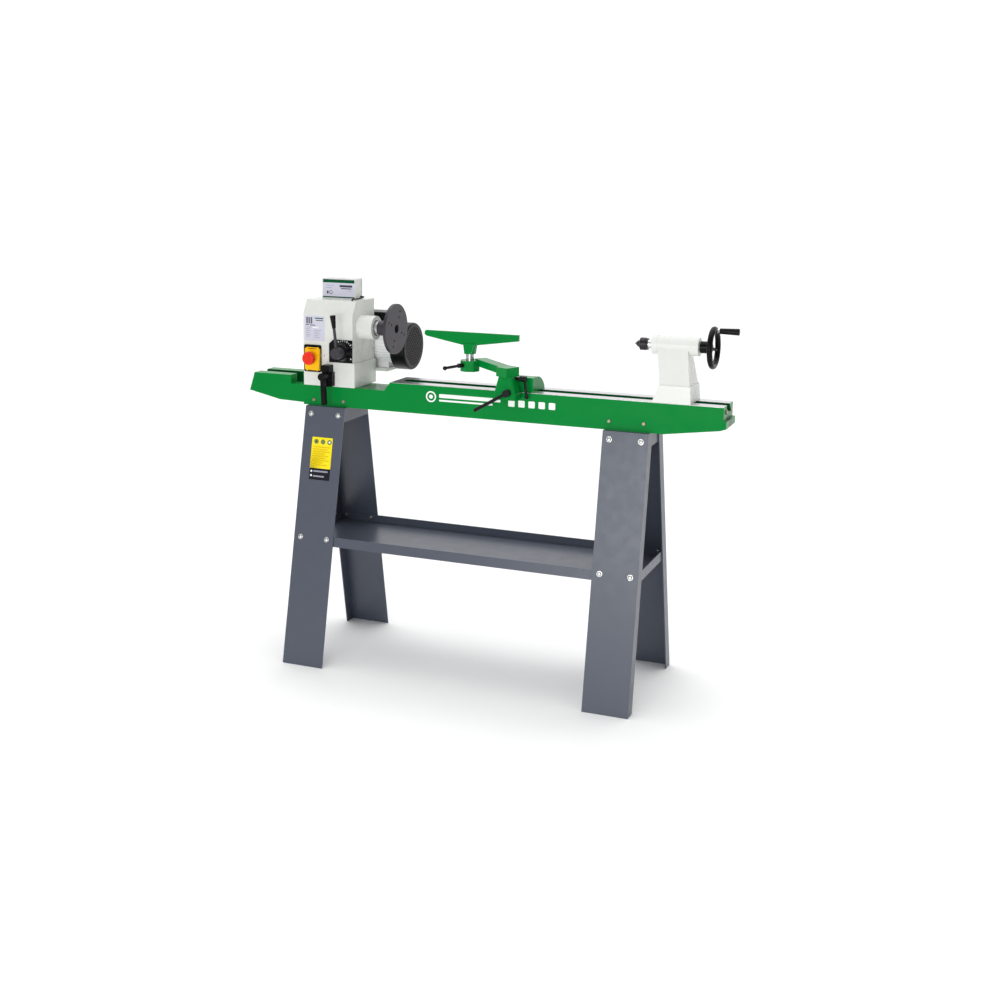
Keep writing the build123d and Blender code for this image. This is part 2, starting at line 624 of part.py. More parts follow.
with BuildPart() as carrier:
    with BuildSketch(Plane.YZ.offset(carrier_left + 6)) as dome:
        with BuildLine():
            Polyline((-55, carrier_floor), (-55, carrier_top), (-18, carrier_top))
            ThreePointArc((-18, carrier_top), (28, 936), (50, carrier_floor + 6))
            Polyline((50, carrier_floor + 6), (50, carrier_floor), (-55, carrier_floor))
        make_face()
    extrude(dome.sketch, amount=carrier_right - carrier_left - 6)
    with BuildSketch(Plane.XY.offset(889)) as foot_outline:
        with Locations((122, -93)):
            RectangleRounded(76, 62, 10)
    with BuildSketch(Plane.XY.offset(upright_top)) as top_outline:
        with Locations((120, -86)):
            RectangleRounded(43, 50, 8)
    loft([foot_outline.sketch.face(), top_outline.sketch.face()])
    block((90, 146), (-75, -50), (carrier_floor, 936))
    bar((*pivot_arm, 915), (*pivot_arm, upright_top + 1), post_radius + running,
        mode=Mode.SUBTRACT)
    bar((118, 0, 900), (118, 0, 930), clamp_bolt_radius, mode=Mode.SUBTRACT)
    block((0, 300), (-bed_half_width - 0.8, 100), (880, carrier_floor), mode=Mode.SUBTRACT)
    bar((lever_shaft_x, -140, lever_shaft_z), (lever_shaft_x, -108, lever_shaft_z), 8.05,
        mode=Mode.SUBTRACT)
    bar((130, arm_clamp_y, arm_clamp_z), (160, arm_clamp_y, arm_clamp_z), 5.05, mode=Mode.SUBTRACT)
save(carrier.part, "rest_carrier")

with BuildPart() as carrier_clamp:
    block((98, 138), (-34, 34), (clamp_ceiling - 12, clamp_ceiling))
    bar((118, 0, clamp_ceiling - 24), (118, 0, 930), clamp_bolt_radius)
save(carrier_clamp.part, "rest_carrier_clamp")

hub_y = -126.0
with BuildPart() as carrier_lever:
    bar((lever_shaft_x, -109, lever_shaft_z), (lever_shaft_x, hub_y, lever_shaft_z), 8)
    bar((lever_shaft_x, hub_y + 1, lever_shaft_z), (lever_shaft_x, hub_y - 17, lever_shaft_z), 11)
    bar((lever_shaft_x, hub_y - 8, lever_shaft_z), (32, hub_y - 8, 852), 4.6, 5.6)
save(carrier_lever.part, "rest_carrier_lever")

hub_x = 157.5
with BuildPart() as arm_lever:
    bar((hub_x, arm_clamp_y, arm_clamp_z), (hub_x + 20, arm_clamp_y, arm_clamp_z), 9)
    bar((132, arm_clamp_y, arm_clamp_z), (hub_x + 1, arm_clamp_y, arm_clamp_z), 5)
    bar((hub_x + 14, arm_clamp_y, arm_clamp_z), (hub_x + 22, arm_clamp_y - 1, 896), 4.2)
    with Locations((hub_x + 22, arm_clamp_y - 1, 894)):
        Sphere(6.5)
save(arm_lever.part, "arm_clamp_lever")

arm_frame = Plane(origin=(*pivot_arm, 0), x_dir=(*arm_run, 0), z_dir=(0, 0, 1))
bar_end = (-10.0, 13.0)
bar_run = (bar_end[0] - pivot_arm[0], bar_end[1] - pivot_arm[1])
bar_length = hypot(*bar_run)
bar_side = Plane(origin=(*pivot_arm, 0), x_dir=(*bar_run, 0), z_dir=(bar_run[1], -bar_run[0], 0))
with BuildPart() as rest_arm:
    with BuildSketch(arm_frame.offset(upright_top + gap)) as block_outline:
        with Locations((-4, 0)):
            Rectangle(46, 53)
    extrude(block_outline.sketch, amount=986 - upright_top - gap)
    with BuildSketch(bar_side) as bar_outline:
        Polygon((8, 964), (8, 986), (bar_length, 992), (bar_length, 970), align=None)
    extrude(bar_outline.sketch, amount=20, both=True)
    with BuildSketch(arm_frame.offset(holder_low)) as holder_outline:
        with Locations(Location((arm_length, 0), 22.5)):
            RegularPolygon(29.5, 8, major_radius=False)
    extrude(holder_outline.sketch, amount=holder_high - holder_low)
    bar((*pivot_arm, 917), (*pivot_arm, 970), post_radius)
    bar((*post_at, 900), (*post_at, 1000), post_radius + running, mode=Mode.SUBTRACT)
    bar(rest_clamp_at - rest_clamp_axis * 24, rest_clamp_at + rest_clamp_axis * 28, 5.05,
        mode=Mode.SUBTRACT)
save(rest_arm.part, "rest_arm")

with BuildPart() as rest_lever:
    bar(rest_clamp_at, rest_clamp_at + rest_clamp_axis * 17.7, 7.2)
    bar(rest_clamp_at - rest_clamp_axis * 10, rest_clamp_at + rest_clamp_axis * 17, 5)
    bar(rest_lever_rod[0], rest_lever_rod[1], 4.6)
    with Locations(Plane(origin=rest_lever_rod[1], z_dir=(0, 1, 0)).location):
        Sphere(7)
save(rest_lever.part, "rest_clamp_lever")

rest_floor = 1008.0
with BuildPart() as rest_post:
    bar((*post_at, 956), (*post_at, 1030), post_radius)
    chamfer(rest_post.edges().sort_by(Axis.Z)[0], 1.5)
save(rest_post.part, "tool_rest_post")

rest_z = 1075.0
with BuildPart() as tool_rest:
    front_profile([(-186, rest_z), (-190, 1071), (-190, 1062), (-182, 1057), (-56, 1035), (-12, 1036),
                   (129, 1056), (129, rest_z)], post_at[1] - 7, post_at[1] + 7)
    with BuildSketch(Plane.XY.offset(1040)) as neck_top:
        with Locations(post_at):
            RectangleRounded(44, 22, 5)
    with BuildSketch(Plane.XY.offset(rest_floor)) as neck_foot:
        with Locations(post_at):
            RectangleRounded(32, 32, 8)
    loft([neck_foot.sketch.face(), neck_top.sketch.face()])
    side_profile([(post_at[1] - 9, 1040), (post_at[1] - 9, 1080), (post_at[1] - 1, 1080),
                  (post_at[1] - 6.5, 1044)], -200, 140, mode=Mode.SUBTRACT)
    bar((*post_at, 1000), (*post_at, 1030.3), post_radius + running, mode=Mode.SUBTRACT)
save(tool_rest.part, "tool_rest")

# ---------------------------------------------------------------- tailstock
tail_x = 626.0
with BuildPart() as tailstock:
    with BuildSketch(Plane.XY.offset(carrier_floor)) as base_outline:
        with Locations(((568 + 684.6) / 2, 0)):
            Rectangle(684.6 - 568, 122)
    with BuildSketch(Plane.XY.offset(957)) as ledge_outline:
        with Locations(((586 + 681) / 2, 0)):
            Rectangle(681 - 586, 116)
    loft([base_outline.sketch.face(), ledge_outline.sketch.face()])
    with BuildSketch(Plane.XY.offset(956)) as column_foot:
        with Locations(((588 + 678.5) / 2, 0)):
            Rectangle(678.5 - 588, 108)
    with BuildSketch(Plane.XY.offset(1062)) as column_top:
        with Locations(((572.5 + 664) / 2, 0)):
            Rectangle(664 - 572.5, 53)
    loft([column_foot.sketch.face(), column_top.sketch.face()])
    along_x(barrel_left, barrel_right - 3, barrel_radius)
    along_x(barrel_left, barrel_left + 18, barrel_radius + 1)
    along_x(barrel_left - 1, 686, quill_radius + running, mode=Mode.SUBTRACT)
    along_x(680, barrel_right + 1, 8.05, mode=Mode.SUBTRACT)
    bar((tail_x, 0, 900), (tail_x, 0, 940), clamp_bolt_radius, mode=Mode.SUBTRACT)
    bar((tail_x, 40, 930), (tail_x, 70, 930), 8.05, mode=Mode.SUBTRACT)
    bar((590, 16, spindle_z), (590, 40, spindle_z), 5.05, mode=Mode.SUBTRACT)
save(tailstock.part, "tailstock_casting")

with BuildPart() as tailstock_clamp:
    block((tail_x - 24, tail_x + 24), (-34, 34), (clamp_ceiling - 12, clamp_ceiling))
    bar((tail_x, 0, clamp_ceiling - 24), (tail_x, 0, 940), clamp_bolt_radius)
save(tailstock_clamp.part, "tailstock_clamp")

with BuildPart() as tail_lever:
    bar((tail_x, 42, 930), (tail_x, 64, 930), 8)
    bar((tail_x, 61.5, 930), (tail_x, 79, 930), 13)
    bar((tail_x, 71, 930), (tail_x - 38, 73, 998), 5, 6)
save(tail_lever.part, "tailstock_lock_lever")

with BuildPart() as quill_lever:
    bar((590, 17, spindle_z), (590, 31, spindle_z), 5)
    bar((590, 29.5, spindle_z), (590, 44, spindle_z), 8)
    bar((590, 38, spindle_z), (642, 39, spindle_z - 6), 4, 5)
save(quill_lever.part, "quill_lock_lever")

with BuildPart() as quill:
    turned([(538, 9.2), (538, quill_radius), (668, quill_radius), (668, 7.2), (580, 7.2),
            (580, 0), (577, 0), (577, 7.3)])
save(quill.part, "quill")

with BuildPart() as centre_shank:
    turned([(527, 0), (527, 8), (531.5, 8), (531.5, 18), (537.5, 18), (537.5, 9.18), (576, 7.2), (576, 0)])
save(centre_shank.part, "live_centre_shank")

with BuildPart() as centre_head:
    turned([(495.7, 0), (506, 10), (509, 10), (511, 14), (514, 19), (531, 19), (531, 8.05),
            (526.5, 8.05), (526.5, 0)])
save(centre_head.part, "live_centre_head")

with BuildPart() as leadscrew:
    along_x(600, 686, 6.9)
    along_x(685, wheel_x - 10, 8)
save(leadscrew.part, "leadscrew")

spoke_angles = (-15.0, 105.0, 225.0)
crank_angle = radians(81.0)
crank_y, crank_z = crank_radius * cos(crank_angle), spindle_z + crank_radius * sin(crank_angle)
with BuildPart() as handwheel:
    turned([(barrel_right + gap, 8), (barrel_right + gap, 18), (716, 18), (731, 13), (731, 8)])
    with BuildSketch(Plane.XZ) as rim_section:
        with Locations((wheel_x, spindle_z + wheel_radius)):
            Circle(wheel_section)
    revolve(rim_section.sketch, axis=spindle_axis)
    for angle in spoke_angles:
        y, z = cos(radians(angle)), sin(radians(angle))
        bar((724, 11 * y, spindle_z + 11 * z), (735, 51 * y, spindle_z + 51 * z), 5, 4.5)
    along_x(740, 750, 6.5, y=crank_y, z=crank_z)
    along_x(745, 800, 4, y=crank_y, z=crank_z)
save(handwheel.part, "handwheel")

crank_end = -bed_left_tip
with BuildPart() as crank_grip:
    bar((750.5, crank_y, crank_z), (crank_end, crank_y, crank_z), 8.4, 10.2)
    fillet(crank_grip.edges().sort_by(Axis.X)[-1], 3)
    along_x(749, 801, 4.05, y=crank_y, z=crank_z, mode=Mode.SUBTRACT)
save(crank_grip.part, "crank_grip")
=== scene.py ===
"""Wood lathe: looks, small parts, labels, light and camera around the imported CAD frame. Metres."""

import json
from math import cos, pi, radians, sin

import bmesh
import bpy
from mathutils import Matrix, Vector


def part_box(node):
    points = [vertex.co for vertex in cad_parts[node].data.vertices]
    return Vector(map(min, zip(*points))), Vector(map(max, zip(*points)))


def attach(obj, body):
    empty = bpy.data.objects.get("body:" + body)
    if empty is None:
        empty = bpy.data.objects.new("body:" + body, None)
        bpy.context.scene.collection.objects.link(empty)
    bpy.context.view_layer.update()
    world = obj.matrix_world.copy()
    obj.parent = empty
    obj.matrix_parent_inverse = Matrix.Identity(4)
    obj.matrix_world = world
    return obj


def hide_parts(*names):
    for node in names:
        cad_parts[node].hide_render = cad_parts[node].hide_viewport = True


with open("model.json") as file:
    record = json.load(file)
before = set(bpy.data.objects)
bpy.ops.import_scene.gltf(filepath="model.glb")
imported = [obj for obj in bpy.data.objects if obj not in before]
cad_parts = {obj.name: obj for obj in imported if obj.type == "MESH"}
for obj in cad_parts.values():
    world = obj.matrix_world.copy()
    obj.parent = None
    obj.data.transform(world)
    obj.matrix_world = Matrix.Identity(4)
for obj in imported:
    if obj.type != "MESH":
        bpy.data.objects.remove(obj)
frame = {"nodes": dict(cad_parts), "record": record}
nodes = frame["nodes"]
slot_of = {part["node"]: part["material_slot"] for part in frame["record"]["subparts"]}
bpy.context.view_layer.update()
MM = 0.001


def linear(red, green, blue):
    """Scene colour of an sRGB colour given as three numbers up to 255."""
    def channel(value):
        value /= 255
        return value / 12.92 if value <= 0.04045 else ((value + 0.055) / 1.055) ** 2.4
    return (channel(red), channel(green), channel(blue), 1.0)


# ---------------------------------------------------------------- node materials
class Look:
    """A Principled material under construction, with helpers for its texture nodes."""

    def __init__(self, name, color, roughness, metallic=0.0, coat=0.0, specular=0.5):
        self.material = bpy.data.materials.new(name)
        self.material.use_nodes = True
        self.tree = self.material.node_tree
        self.shader = self.tree.nodes["Principled BSDF"]
        self.shader.inputs["Metallic"].default_value = metallic
        self.shader.inputs["Coat Weight"].default_value = coat
        self.shader.inputs["Coat Roughness"].default_value = 0.08
        self.shader.inputs["Specular IOR Level"].default_value = specular
        self.color = color
        self.roughness = roughness
        self.coords = self.new("ShaderNodeTexCoord").outputs["Object"]
        self.last_bump = None

    def new(self, kind, **settings):
        node = self.tree.nodes.new(kind)
        for key, value in settings.items():
            setattr(node, key, value)
        return node

    def put(self, socket, value):
        """Link a socket's source, or set its constant."""
        if isinstance(value, bpy.types.NodeSocket):
            self.tree.links.new(value, socket)
        else:
            socket.default_value = value

    def math(self, operation, *values):
        node = self.new("ShaderNodeMath", operation=operation)
        for socket, value in zip(node.inputs, values):
            self.put(socket, value)
        return node.outputs[0]

    def span(self, value, low, high, to_low, to_high):
        """Map a value smoothly from one range to another."""
        node = self.new("ShaderNodeMapRange", interpolation_type="SMOOTHSTEP")
        for socket, entry in zip(node.inputs, (value, low, high, to_low, to_high)):
            self.put(socket, entry)
        return node.outputs[0]

    def noise(self, scale, detail=2.0, stretch=(1, 1, 1)):
        vector = self.coords
        if stretch != (1, 1, 1):
            mapping = self.new("ShaderNodeMapping")
            mapping.inputs["Scale"].default_value = stretch
            self.put(mapping.inputs["Vector"], vector)
            vector = mapping.outputs[0]
        node = self.new("ShaderNodeTexNoise")
        node.inputs["Scale"].default_value = scale
        node.inputs["Detail"].default_value = detail
        self.put(node.inputs["Vector"], vector)
        return node.outputs["Fac"]

    def axes(self):
        node = self.new("ShaderNodeSeparateXYZ")
        self.put(node.inputs[0], self.coords)
        return node.outputs

    def mix(self, factor, first, second):
        node = self.new("ShaderNodeMix", data_type="RGBA")
        self.put(node.inputs["Factor"], factor)
        self.put(node.inputs["A"], first)
        self.put(node.inputs["B"], second)
        return node.outputs["Result"]

    def mix_value(self, factor, first, second):
        node = self.new("ShaderNodeMix", data_type="FLOAT")
        for index, value in zip((0, 2, 3), (factor, first, second)):
            self.put(node.inputs[index], value)
        return node.outputs[0]

    def tone(self, amount, scale):
        """Slow light and dark drift of the base colour."""
        drift = self.noise(scale)
        dark = tuple(c * (1 - amount) for c in self.color[:3]) + (1.0,)
        light = tuple(min(1.0, c * (1 + amount)) for c in self.color[:3]) + (1.0,)
        self.color = self.mix(drift, dark, light)

    def vary_roughness(self, amount, scale):
        value = self.noise(scale)
        self.roughness = self.span(value, 0.3, 0.7, self.roughness - amount,
                                   self.roughness + amount)

    def bump(self, height, strength, distance):
        """Add a bump, stacked on any bump made before it."""
        node = self.new("ShaderNodeBump")
        node.inputs["Strength"].default_value = strength
        node.inputs["Distance"].default_value = distance
        self.put(node.inputs["Height"], height)
        if self.last_bump:
            self.put(node.inputs["Normal"], self.last_bump)
        self.last_bump = node.outputs[0]

    def done(self):
        self.put(self.shader.inputs["Base Color"], self.color)
        self.put(self.shader.inputs["Roughness"], self.roughness)
        if self.last_bump:
            self.put(self.shader.inputs["Normal"], self.last_bump)
        return self.material


def enamel(name, color, roughness=0.24, peel=0.25, specular=0.25, coat=0.05):
    """Sprayed gloss enamel: orange peel and a faint drift of tone."""
    look = Look(name, color, roughness, coat=coat, specular=specular)
    look.tone(0.035, 6)
    look.vary_roughness(0.03, 22)
    look.bump(look.noise(260, 1.0), peel, 0.0003)
    look.bump(look.noise(1400, 1.0), 0.08, 0.0001)
    return look


def powder(name, color, roughness=0.42, specular=0.5):
    """Satin powder coat on sheet steel: fine close texture."""
    look = Look(name, color, roughness, specular=specular)
    look.tone(0.05, 4)
    look.vary_roughness(0.025, 30)
    look.bump(look.noise(900, 2.0), 0.22, 0.0002)
    return look


def steel(name, color, roughness=0.3, stretch=(4, 90, 90), scale=14, metallic=1.0):
    """Ground or brushed metal with fine marks along one direction."""
    look = Look(name, color, roughness, metallic=metallic)
    marks = look.noise(scale, 5.0, stretch)
    look.tone(0.10, 30)
    look.roughness = look.span(marks, 0.25, 0.75, roughness - 0.09, roughness + 0.12)
    look.bump(marks, 0.12, 0.0002)
    return look


def turned_steel(name, color, roughness, axis_yz, pitch=2600, metallic=1.0):
    """Metal turned about a line along X: rings on the faces and round the barrels."""
    look = Look(name, color, roughness, metallic=metallic)
    x, y, z = look.axes()
    across = look.math("SUBTRACT", y, axis_yz[0])
    up = look.math("SUBTRACT", z, axis_yz[1])
    square = look.math("ADD", look.math("MULTIPLY", across, across), look.math("MULTIPLY", up, up))
    run = look.math("ADD", look.math("SQRT", square), x)
    rings = look.new("ShaderNodeTexNoise", noise_dimensions="1D")
    rings.inputs["Scale"].default_value = pitch
    look.put(rings.inputs["W"], run)
    marks = rings.outputs["Fac"]
    look.tone(0.08, 26)
    look.roughness = look.span(marks, 0.3, 0.7, roughness - 0.07, roughness + 0.10)
    look.bump(marks, 0.18, 0.00015)
    return look


def plastic(name, color, roughness=0.4, grain=0.2, specular=0.25):
    """Moulded plastic with a fine spark-eroded grain."""
    look = Look(name, color, roughness, specular=specular)
    look.tone(0.04, 12)
    look.vary_roughness(0.05, 40)
    look.bump(look.noise(1500, 2.0), grain, 0.0001)
    return look


green = linear(0, 130, 54)
cream = linear(222, 224, 219)
leg_grey = linear(75, 81, 94)
spindle_line = (0.0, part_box("spindle")[0].z / 2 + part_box("spindle")[1].z / 2)

# bed: green enamel, with the tops of the ways ground bright and painted shade inside the slot
# between the ways
look = enamel("bed_green", green, specular=0.12, coat=0.0)
seat_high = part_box("bed")[1].z
x, y, z = look.axes()
ground_left, ground_right = -0.2906, 0.7830     # ends of the ground length along the bed
along = look.math("MULTIPLY", look.span(x, ground_left - 0.002, ground_left, 0, 1),
                  look.span(x, ground_right, ground_right + 0.0006, 1, 0))
ways = look.math("MULTIPLY", look.span(z, seat_high - 0.0016, seat_high - 0.0009, 0, 1), along)
grind = look.noise(18, 5.0, (3, 120, 120))
bright = look.mix(grind, linear(176, 178, 180), linear(232, 233, 234))
slot_half = 0.0211      # half-width of the slot between the ways; the inside of the slot gets painted shade, a darker green
across = look.math("ABSOLUTE", y)
# painted shade: mask of the inside of the slot, below the tops of the ways
slot_painted_shade = look.math("MULTIPLY", look.span(across, slot_half - 0.0003, slot_half + 0.0003, 1, 0),
                      look.span(z, seat_high - 0.0009, seat_high - 0.0004, 1, 0))
look.color = look.mix(ways, look.color, bright)
# painted shade: dark green mixed over the inside of the slot in place of the shade in the recess
look.color = look.mix(slot_painted_shade, look.color, linear(0, 62, 30))
ground = look.span(grind, 0.25, 0.75, 0.20, 0.36)
look.roughness = look.mix_value(ways, look.roughness, ground)
look.put(look.shader.inputs["Metallic"], look.math("MULTIPLY", ways, 0.95))
bed_green = look.done()

# handwheel: black, with a bright ferrule on the crank pin
look = plastic("wheel_black", linear(12, 11, 14), 0.28, 0.12, 0.12)
ferrule = look.span(look.axes()[0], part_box("crank_grip")[0].x - 0.0095,
                    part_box("crank_grip")[0].x - 0.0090, 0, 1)
pin_root = 0.7440       # where the crank pin leaves the wheel's rim
pin = look.math("MULTIPLY", ferrule, look.span(look.axes()[0], pin_root, pin_root + 0.0004, 0, 1))
look.color = look.mix(pin, look.color, linear(210, 210, 212))
look.put(look.shader.inputs["Metallic"], pin)
wheel_black = look.done()

looks = {
    "cream_enamel": enamel("cream_enamel", cream, 0.28, 0.2).done(),
    "leg_paint": powder("leg_paint", leg_grey, 0.33).done(),
    "zinc_fasteners": steel("zinc", linear(206, 207, 205), 0.26, (1, 1, 1), 120).done(),
    "bright_steel": turned_steel("bright_steel", linear(214, 214, 216), 0.22, spindle_line).done(),
    "dark_steel": turned_steel("dark_steel", linear(60, 57, 63), 0.42, spindle_line, 1500,
                               0.45).done(),
    "motor_alloy": steel("motor_alloy", linear(244, 245, 248), 0.42, (1, 1, 1), 60, 0.0).done(),
    "black_paint": powder("black_paint", linear(16, 15, 18), 0.32, 0.2).done(),
    "black_plastic": plastic("black_plastic", linear(14, 13, 16), 0.30, 0.2, 0.14).done(),
    "yellow_plastic": plastic("yellow_plastic", linear(255, 196, 6), 0.30, 0.12).done(),
    "red_plastic": plastic("red_plastic", linear(230, 48, 26), 0.28, 0.10).done(),
    "green_plastic": plastic("green_plastic", linear(30, 150, 60), 0.30, 0.10).done(),
    "rubber": plastic("rubber", linear(26, 26, 28), 0.55, 0.30).done(),
    "bed_enamel": bed_green,
    "rest_enamel": enamel("rest_green", green, 0.18, 0.30, 0.14, 0.0).done(),
}
own_looks = {
    "handwheel": wheel_black,
    "tool_rest_post": steel("post_steel", linear(196, 197, 200), 0.25, (90, 90, 4)).done(),
    "tailstock_casting": enamel("tailstock_cream", linear(228, 230, 225), 0.28, 0.2).done(),
    "bed_screws": steel("passivated", linear(150, 146, 126), 0.34, (1, 1, 1), 120).done(),
}
own_looks["live_centre_head"] = turned_steel("black_oxide", linear(38, 36, 40), 0.30, spindle_line,
                                             2200, 0.5).done()
own_looks["live_centre_shank"] = own_looks["live_centre_head"]

label_silver = powder("label_silver", linear(206, 206, 222), 0.35).done()
print_green = plastic("print_green", linear(0, 78, 42), 0.40, 0.1, 0.1).done()
print_dark = plastic("print_dark", linear(58, 60, 74), 0.45, 0.1).done()
print_grey = plastic("print_grey", linear(150, 150, 166), 0.45, 0.1).done()
print_white = plastic("print_white", linear(244, 248, 244), 0.35, 0.1).done()
warn_yellow = plastic("warn_yellow", linear(250, 226, 14), 0.35, 0.1).done()
warn_ochre = plastic("warn_ochre", linear(222, 190, 10), 0.40, 0.1).done()
warn_black = plastic("warn_black", linear(20, 20, 30), 0.35, 0.1).done()
warn_sage = plastic("warn_sage", linear(116, 130, 84), 0.40, 0.1).done()


# ---------------------------------------------------------------- finish of the CAD nodes
def sharp_edges_group():
    """Geometry nodes that shade faces smooth and keep edges over 40 degrees sharp."""
    group = bpy.data.node_groups.new("smooth_by_angle", "GeometryNodeTree")
    group.interface.new_socket("Geometry", in_out="INPUT", socket_type="NodeSocketGeometry")
    group.interface.new_socket("Geometry", in_out="OUTPUT", socket_type="NodeSocketGeometry")
    start, end = group.nodes.new("NodeGroupInput"), group.nodes.new("NodeGroupOutput")
    faces = group.nodes.new("GeometryNodeSetShadeSmooth")
    edges = group.nodes.new("GeometryNodeSetShadeSmooth")
    edges.domain = "EDGE"
    edges.inputs["Shade Smooth"].default_value = False
    angle = group.nodes.new("GeometryNodeInputMeshEdgeAngle")
    limit = group.nodes.new("FunctionNodeCompare")
    limit.operation = "GREATER_THAN"
    limit.inputs[1].default_value = radians(40)
    link = group.links.new
    link(start.outputs[0], faces.inputs["Geometry"])
    link(faces.outputs[0], edges.inputs["Geometry"])
    link(angle.outputs["Unsigned Angle"], limit.inputs[0])
    link(limit.outputs[0], edges.inputs["Selection"])
    link(edges.outputs[0], end.inputs[0])
    return group


smooth_by_angle = sharp_edges_group()


def soften(obj, width):
    """Round the sharp edges of a piece and shade its curved faces smooth."""
    weld = obj.modifiers.new("weld", "WELD")
    weld.merge_threshold = 0.00001
    if width:
        flat = obj.modifiers.new("flat_faces", "DECIMATE")
        flat.decimate_type = "DISSOLVE"
        flat.angle_limit = radians(0.5)
        bevel = obj.modifiers.new("round_edges", "BEVEL")
        bevel.width = width
        bevel.segments = 2
        bevel.limit_method = "ANGLE"
        bevel.angle_limit = radians(35)
        bevel.use_clamp_overlap = True
    obj.modifiers.new("shade", "NODES").node_group = smooth_by_angle
    normals = obj.modifiers.new("normals", "WEIGHTED_NORMAL")
    normals.keep_sharp = True
    normals.weight = 80


edge_width = {"bed": 1.6, "headstock_casting": 2.2, "tailstock_casting": 3.0, "rest_carrier": 3.0,
              "rest_arm": 2.0, "tool_rest": 1.6, "faceplate": 1.0, "handwheel": 0.6,
              "control_box": 1.2, "terminal_box": 1.2, "motor_plate": 0.8, "belt_cover": 2.0,
              "headstock_end_cover": 0.8, "switch_plate": 1.0, "switch_flap": 0.8,
              "headstock_lock_block": 1.2, "headstock_lock_lever": 1.5, "motor_body": 0.5,
              "shelf": 0.8, "saddle_left": 0.8, "saddle_right": 0.8, "speed_dial_plate": 0.6,
              "fan_cover": 0.5}
hidden_inside = {"drive_belt", "spindle_pulley", "motor_pulley", "motor_shaft", "cooling_fan",
                 "front_bearing", "rear_bearing", "control_lead"}
for name, node in nodes.items():
    node.data.materials.clear()
    node.data.materials.append(own_looks.get(name) or looks[slot_of[name]])
    if "custom_normal" in node.data.attributes:
        node.data.attributes.remove(node.data.attributes["custom_normal"])
    width = 0.0 if name in hidden_inside else edge_width.get(name, 0.5)
    soften(node, width * MM)


# ---------------------------------------------------------------- mesh helpers
def add_mesh(name, bm, materials, body, width=0.0):
    """Turn a bmesh into a piece that rides on a body."""
    mesh = bpy.data.meshes.new(name)
    bmesh.ops.recalc_face_normals(bm, faces=bm.faces)
    bm.to_mesh(mesh)
    bm.free()
    obj = bpy.data.objects.new(name, mesh)
    bpy.context.scene.collection.objects.link(obj)
    for material in materials:
        mesh.materials.append(material)
    soften(obj, width)
    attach(obj, body)
    return obj


CORNER_STEPS = 5        # segments round the corner of a rectangle


class Face:
    """A flat place on the object: points are given as (u, v, height) in millimetres."""

    def __init__(self, origin, right, up):
        self.origin, self.right, self.up = Vector(origin), Vector(right), Vector(up)
        self.out = self.right.cross(self.up)

    def at(self, u, v, height):
        return self.origin + (self.right * u + self.up * v + self.out * height) * MM


def rectangle(u_low, v_low, u_high, v_high, corner=0.0):
    """Outline of a rectangle, with rounded corners where corner is not zero."""
    if not corner:
        return [(u_low, v_low), (u_high, v_low), (u_high, v_high), (u_low, v_high)]
    centres = ((u_high - corner, v_low + corner, -90), (u_high - corner, v_high - corner, 0),
               (u_low + corner, v_high - corner, 90), (u_low + corner, v_low + corner, 180))
    outline = []
    for u, v, start in centres:
        for step in range(CORNER_STEPS + 1):
            angle = radians(start + 90 * step / CORNER_STEPS)
            outline.append((u + corner * cos(angle), v + corner * sin(angle)))
    return outline


def disc(u, v, radius, steps=32):
    return [(u + radius * cos(2 * pi * i / steps), v + radius * sin(2 * pi * i / steps))
            for i in range(steps)]


def raise_outline(bm, face, outline, low, high, index=0):
    """Solid slab between two heights above a face."""
    bottom = [bm.verts.new(face.at(u, v, low)) for u, v in outline]
    top = [bm.verts.new(face.at(u, v, high)) for u, v in outline]
    count = len(outline)
    made = [bm.faces.new(top), bm.faces.new(bottom[::-1])]
    for i in range(count):
        j = (i + 1) % count
        made.append(bm.faces.new((bottom[i], bottom[j], top[j], top[i])))
    for piece in made:
        piece.material_index = index


def raise_ring(bm, face, u, v, inner, outer, low, high, index=0):
    """Solid flat ring between two heights above a face."""
    steps = 40
    rings = []
    for radius, height in ((inner, low), (outer, low), (outer, high), (inner, high)):
        circle = disc(u, v, radius, steps)
        rings.append([bm.verts.new(face.at(*spot, height)) for spot in circle])
    for first, second in zip(rings, rings[1:] + rings[:1]):
        for i in range(steps):
            j = (i + 1) % steps
            piece = bm.faces.new((first[i], first[j], second[j], second[i]))
            piece.material_index = index


FILM = 0.4      # thickness of a label, millimetres
PRINT = 0.15    # how far printed marks stand above it
SUNK = -0.1     # how far a label's back sits under the face, so no gap shows
BITE = 0.05     # how far printed marks start inside the label, for the same reason


# ---------------------------------------------------------------- marks on the bed front
bed_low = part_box("bed")[0]
bed_face = Face((0, bed_low.y, 0), (1, 0, 0), (0, 0, 1))
bm = bmesh.new()
raise_ring(bm, bed_face, -147, 870.5, 13.0, 17.5, SUNK, FILM)
raise_outline(bm, bed_face, disc(-147, 870.5, 6.5), SUNK, FILM)
raise_outline(bm, bed_face, rectangle(-119, 869, 88, 881, 2.5), SUNK, FILM)
raise_outline(bm, bed_face, rectangle(-119, 857.5, 62, 863, 1.5), SUNK, FILM)
for step in range(5):
    left = 114 + 33 * step
    raise_outline(bm, bed_face, rectangle(left, 859, left + 21, 880, 3.0), SUNK, FILM)
add_mesh("bed_marks", bm, [print_white], "stand")

# ---------------------------------------------------------------- label on the headstock front
head_low, head_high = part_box("headstock_casting")
head_face = Face((0, head_low.y, 0), (1, 0, 0), (0, 0, 1))
label_left, label_right, label_low, label_high = -599.6, -525.3, 1023.5, 1105.3
bm = bmesh.new()
raise_outline(bm, head_face, rectangle(label_left, label_low, label_right, label_high, 3),
              SUNK, FILM)


def bars(face, spots, index):
    for spot in spots:
        raise_outline(bm, face, rectangle(*spot), FILM - BITE, FILM + PRINT, index)


